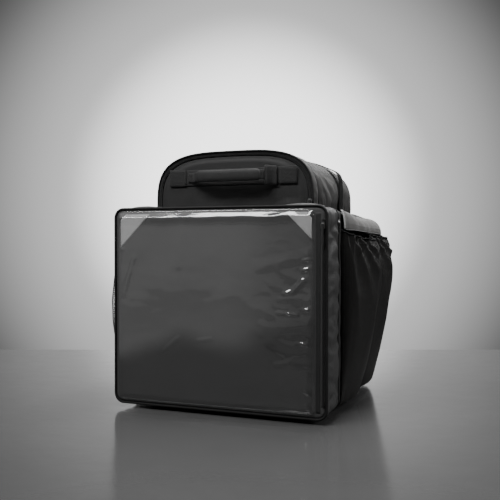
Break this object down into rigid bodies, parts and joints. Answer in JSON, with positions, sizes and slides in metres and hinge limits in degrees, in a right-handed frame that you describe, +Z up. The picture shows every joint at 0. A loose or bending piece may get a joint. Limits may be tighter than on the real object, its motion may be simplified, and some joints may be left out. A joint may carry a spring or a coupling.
{
  "type": "insulated delivery backpack",
  "caption": "Box-shaped insulated backpack with a zipped front cover, clear front window, arched hood with carry handle, gathered side pockets and shoulder straps.",
  "frame": {"origin": "middle of the footprint's bounding box, on the floor", "axes": "+Z up, -Y out of the front face with the window, +Y towards the wearer's back, +X to the side with the gathered pockets"},
  "size_m": [0.6372, 0.5456, 0.5576],
  "materials": {
    "black_cloth": "black coated woven polyester, matt",
    "side_cloth": "very dark olive grey woven nylon, slightly shiny",
    "webbing": "black ribbed webbing",
    "piping": "black corded piping, slightly shiny",
    "zip_tape": "black zip tape and coil",
    "moulded": "black moulded sliders, pulls and adjusters",
    "clear_vinyl": "clear glossy flexible vinyl, creased",
    "dark_sheet": "plain dark grey sheet, matt",
    "grey_tab": "light grey coated cloth",
    "netting": "dark grey knitted net"
  },
  "bodies": {
    "root": {"back_pad": "black_cloth", "corner_tab_left": "grey_tab", "corner_tab_right": "grey_tab", "door_pull_side": "moulded", "door_pull_top": "moulded", "door_slider_side": "moulded", "door_slider_top": "moulded", "door_zip": "zip_tape", "front_cover": "black_cloth", "front_piping": "piping", "handle_base": "webbing", "handle_grip": "black_cloth", "handle_keeper": "webbing", "handle_patch_left": "webbing", "handle_patch_right": "webbing", "handle_strap": "webbing", "haul_loop": "webbing", "hood_front": "black_cloth", "hood_piping": "piping", "hood_shell": "side_cloth", "hood_zip": "zip_tape", "hood_zip_pull": "moulded", "hood_zip_slider": "moulded", "insert_sheet": "dark_sheet", "main_shell": "black_cloth", "mesh_pocket": "netting", "mesh_pocket_rim": "webbing", "over_strap": "webbing", "pocket_front": "side_cloth", "pocket_front_rim": "webbing", "pocket_rear": "side_cloth", "pocket_rear_rim": "webbing", "shoulder_strap_left": "black_cloth", "shoulder_strap_right": "black_cloth", "side_flap": "side_cloth", "sleeve_zip": "zip_tape", "sleeve_zip_pull": "moulded", "sleeve_zip_slider": "moulded", "strap_adjuster_left": "moulded", "strap_adjuster_right": "moulded", "strap_webbing_left": "webbing", "strap_webbing_right": "webbing", "window": "clear_vinyl", "window_strip": "black_cloth"}
  },
  "joints": []
}
